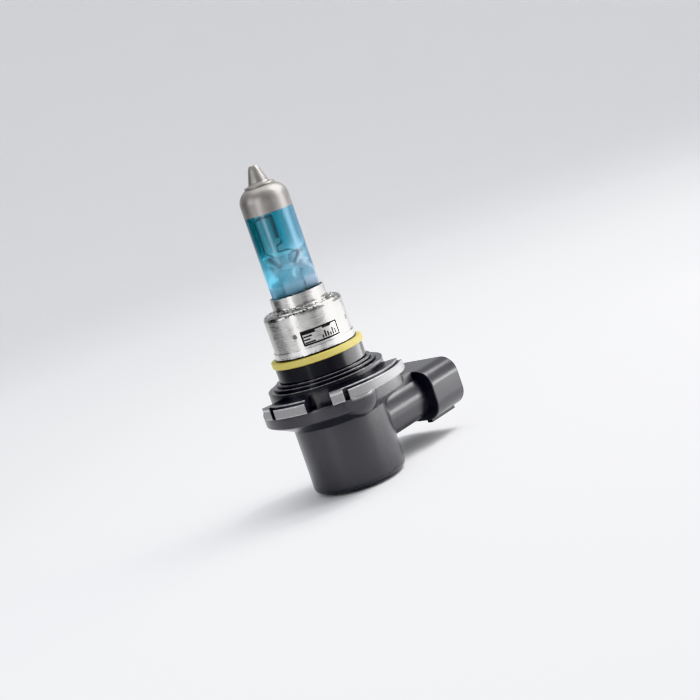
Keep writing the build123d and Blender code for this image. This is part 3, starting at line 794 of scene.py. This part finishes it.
tinned, tree, shader = new_surface("tinned_brass", (0.7, 0.68, 0.62), 0.3, 1.0)
plating = grain(tree, place_mm(tree, (0.5, 4, 4)), 2, 4)
blend_colours(tree, plating, (0.58, 0.55, 0.47), (0.78, 0.77, 0.74), shader.inputs["Base Color"])
spread(tree, plating, 0.2, 0.4, shader.inputs["Roughness"])
relief(tree, shader, plating, depth_mm=0.01)
dress("blade_left", tinned)
dress("blade_right", tinned)

# --- Moulded base -----------------------------------------------------------
# One glass-filled black moulding: neck, ridges, lugs, elbow and plug shroud.
# Its tool is polished at the neck and spark-grained below. The lug side faces carry a painted sheen,
# and the turned edges carry wear and painted highlight lines.

ridge_edges = ((11.9, -4.4), (12.9, -5.1), (14.4, -5.8))
lug_edges = ((17.7, -7.4), (18.8, -8.05), (18.8, -10.4))
edge_reach = 0.34
polished_above = -6.4
grained_below = -7.8
lug_face_r = (18.45, 18.65)
lug_face_z = (-11.2, -10.6)


def near_edge(tree, radial, height, radius, z, reach):
    """1 along a turned edge, falling to 0 at a reach in millimetres."""
    aside = combine(tree, "SUBTRACT", radial, radius)
    above = combine(tree, "SUBTRACT", height, z)
    aside_squared = combine(tree, "MULTIPLY", aside, aside)
    squares = combine(tree, "ADD", aside_squared, combine(tree, "MULTIPLY", above, above))
    return spread(tree, combine(tree, "SQRT", squares, 0), 1.0, 0.0, start=reach * 0.3, end=reach)


black_plastic, tree, shader = new_surface("black_moulding", (0.03, 0.03, 0.034), 0.3)
shader.inputs["IOR"].default_value = 1.65
place = place_mm(tree)
height, radial = height_of(tree, place), from_axis(tree, place)
grains = grain(tree, place, 8, 4, 0.6)
flow = grain(tree, place, 0.22, 3)
grained = spread(tree, height, 1.0, 0.0, start=grained_below, end=polished_above)
# Painted sheen: the outer side faces of the lugs are painted light grey, for the bright reflection they
# show.
out_at_face = spread(tree, radial, 0.0, 1.0, start=lug_face_r[0], end=lug_face_r[1])
above_flange = spread(tree, height, 0.0, 1.0, start=lug_face_z[0], end=lug_face_z[1])
lit_lug_side = combine(tree, "MULTIPLY", out_at_face, above_flange)
polished = blend_colours(tree, flow, (0.005, 0.005, 0.007), (0.01, 0.01, 0.013))
eroded = blend_colours(tree, grains, (0.017, 0.017, 0.021), (0.037, 0.036, 0.041))
sheen_mottle = grain(tree, place, 3.5, 5, 0.7)
painted_lug_sheen = blend_colours(tree, sheen_mottle, (0.15, 0.15, 0.155), (0.3, 0.295, 0.295))
body = blend_colours(tree, grained, polished, eroded)
body = blend_colours(tree, lit_lug_side, body, painted_lug_sheen)
# Edge wear and painted highlight: the turned edges of the ridges and lugs are painted grey, partly rubbed
# wear and partly a painted highlight line.
wear = 0.0
for radius, z in ridge_edges + lug_edges:
    wear = combine(tree, "MAXIMUM", wear, near_edge(tree, radial, height, radius, z, edge_reach))
patchy = spread(tree, grain(tree, place, 1.2, 4, 0.7), 0.35, 1.0, start=0.35, end=0.6)
worn = combine(tree, "MULTIPLY", wear, patchy)
worn_and_lit_edge_grey = blend_colours(tree, grained, (0.16, 0.16, 0.165), (0.5, 0.5, 0.51))
blend_colours(tree, worn, body, worn_and_lit_edge_grey, shader.inputs["Base Color"])
spread(tree, grained, 0.2, 0.27, shader.inputs["Roughness"], start=0.0, end=1.0)
spread(tree, grained, 0.25, 0.5, shader.inputs["Specular IOR Level"], start=0.0, end=1.0)
relief(tree, shader, grains, depth_mm=0.014, strength=0.6)
dress("base_housing", black_plastic)

# --- Rear closure -----------------------------------------------------------
# Cast resin holds the welds, and a pressed-in black disc closes the rear.

resin, tree, shader = new_surface("cast_resin", (0.1, 0.085, 0.07), 0.35)
cure = grain(tree, place_mm(tree), 0.8, 4)
blend_colours(tree, cure, (0.07, 0.06, 0.05), (0.14, 0.12, 0.1), shader.inputs["Base Color"])
relief(tree, shader, cure, depth_mm=0.05)
dress("sealing_compound", resin)

cover_plastic, tree, shader = new_surface("cover_moulding", (0.035, 0.035, 0.04), 0.45)
grains = grain(tree, place_mm(tree), 7, 4)
blend_colours(tree, grains, (0.028, 0.028, 0.032), (0.05, 0.05, 0.055), shader.inputs["Base Color"])
spread(tree, grains, 0.4, 0.55, shader.inputs["Roughness"])
relief(tree, shader, grains, depth_mm=0.02)
dress("rear_cover", cover_plastic)

# --- Seal -------------------------------------------------------------------
# Yellow silicone ring in the groove below the steel ring, moulded in one go,
# with a flat band outside that the lamp's hole presses on.

yellow, tree, shader = new_surface("yellow_silicone", (0.72, 0.6, 0.12), 0.5)
bloom = grain(tree, place_mm(tree), 5, 4)
haze = grain(tree, place_mm(tree), 0.7, 3)
tone = blend_colours(tree, haze, (0.5, 0.42, 0.1), (0.6, 0.53, 0.17))
blend_colours(tree, bloom, tone, (0.55, 0.46, 0.13), shader.inputs["Base Color"])
spread(tree, bloom, 0.42, 0.58, shader.inputs["Roughness"])
shader.inputs["Subsurface Weight"].default_value = 0.15
shader.inputs["Subsurface Scale"].default_value = 0.8 * mm
relief(tree, shader, bloom, depth_mm=0.012)
dress("seal_ring", yellow)

# --- Floor, lamps and camera ------------------------------------------------
# A pale studio floor that curves up into a round wall, soft lamps, the camera.

floor_gap = 0.5 * mm
floor_z = cad_box[0][2] - floor_gap
wall_r = 1.3
curve_r = 0.6
wall_top = 1.5
wall_steps = 72
curve_steps = 8
profile = [(wall_r * t, 0.0) for t in (0.05, 0.2, 0.4)]
for i in range(curve_steps + 1):
    turn = i * pi / 2 / curve_steps
    profile.append((wall_r - curve_r + curve_r * sin(turn), curve_r * (1 - cos(turn))))
profile.append((wall_r, wall_top))
rings = [round_ring(r, floor_z + z, wall_steps) for r, z in profile]
floor_verts = [p for points in rings for p in points]
floor_faces = skin(rings)
cap_with_point(floor_verts, 0, wall_steps, Vector((0, 0, floor_z)), floor_faces)
floor = piece_from("studio_floor", floor_verts, floor_faces)
paper, tree, shader = new_surface("pale_paper", (0.84, 0.84, 0.85), 0.9)
shader.inputs["Specular IOR Level"].default_value = 0.1
fibre = grain(tree, place_mm(tree), 0.6, 3)
blend_colours(tree, fibre, (0.83, 0.83, 0.84), (0.85, 0.85, 0.86), shader.inputs["Base Color"])
floor.data.materials.append(paper)

world = bpy.data.worlds.new("studio")
bpy.context.scene.world = world
world.use_nodes = True
world.node_tree.nodes["Background"].inputs["Color"].default_value = (0.92, 0.94, 0.97, 1)
world.node_tree.nodes["Background"].inputs["Strength"].default_value = 0.42
bpy.context.scene.view_settings.view_transform = "Khronos PBR Neutral"


def from_view(azimuth, elevation, distance):
    """A place at an azimuth, an elevation and a distance from the middle of the seal."""
    a, e = radians(azimuth), radians(elevation)
    return Vector((sin(a) * cos(e), -cos(a) * cos(e), sin(e))) * distance


def soft_lamp(name, azimuth, elevation, distance, width, height, watts, colour=(1, 1, 1)):
    """A soft box that faces the bulb."""
    data = bpy.data.lights.new(name, "AREA")
    data.shape = "RECTANGLE"
    data.size = width
    data.size_y = height
    data.energy = watts
    data.color = colour
    lamp = bpy.data.objects.new(name, data)
    lamp.location = from_view(azimuth, elevation, distance)
    lamp.rotation_euler = lamp.location.to_track_quat("Z", "Y").to_euler()
    lamp.visible_camera = False
    bpy.context.scene.collection.objects.link(lamp)


def flag(name, azimuth, distance, width, low, high):
    """A black card that the bulb mirrors, and that the camera doesn't see."""
    middle = from_view(azimuth, 0, distance)
    aside = Vector((cos(radians(azimuth)), sin(radians(azimuth)), 0)) * width / 2
    corners = [middle - aside, middle + aside]
    verts = [Vector((c.x, c.y, z)) for z in (low, high) for c in corners]
    card = piece_from(name, verts, [(0, 1, 3, 2)])
    felt, tree, shader = new_surface(name + "_felt", (0.02, 0.02, 0.02), 0.95)
    nap = grain(tree, place_mm(tree), 0.5, 3)
    blend_colours(tree, nap, (0.015, 0.015, 0.016), (0.025, 0.025, 0.026), shader.inputs["Base Color"])
    card.data.materials.append(felt)
    card.visible_camera = False


flag("narrow_flag", -24, 0.25, 0.075, -0.03, 0.2)
flag("side_flag", -150, 0.25, 0.2, -0.03, 0.2)
soft_lamp("right_box", 34, 14, 0.34, 0.13, 0.3, 0.55)
soft_lamp("high_right_box", 60, 48, 0.32, 0.16, 0.16, 0.9)
soft_lamp("low_panel", 47, -10, 0.145, 0.2, 0.018, 0.08)
soft_lamp("left_strip", -82, 12, 0.4, 0.03, 0.35, 0.45)
soft_lamp("left_box", -118, 25, 0.5, 0.1, 0.3, 0.35, (0.93, 0.96, 1.0))
soft_lamp("sky_box", 130, 78, 1.2, 1.2, 1.2, 8.0)

camera_azimuth = -47
camera_elevation = 8.7
camera_distance = 0.3585
camera_roll = radians(-19.03)
aim_right = 7.52 * mm
aim_up = -2.51 * mm
turn = radians(camera_azimuth)
camera_aim = Vector((aim_right * cos(turn), aim_right * sin(turn), aim_up))
data = bpy.data.cameras.new("camera")
data.lens = 77.14
camera = bpy.data.objects.new("camera", data)
camera.location = from_view(camera_azimuth, camera_elevation, camera_distance)
aim = (camera_aim - camera.location).to_track_quat("-Z", "Y")
camera.rotation_mode = "QUATERNION"
camera.rotation_quaternion = aim @ Quaternion((0, 0, 1), camera_roll)
bpy.context.scene.collection.objects.link(camera)
bpy.context.scene.camera = camera
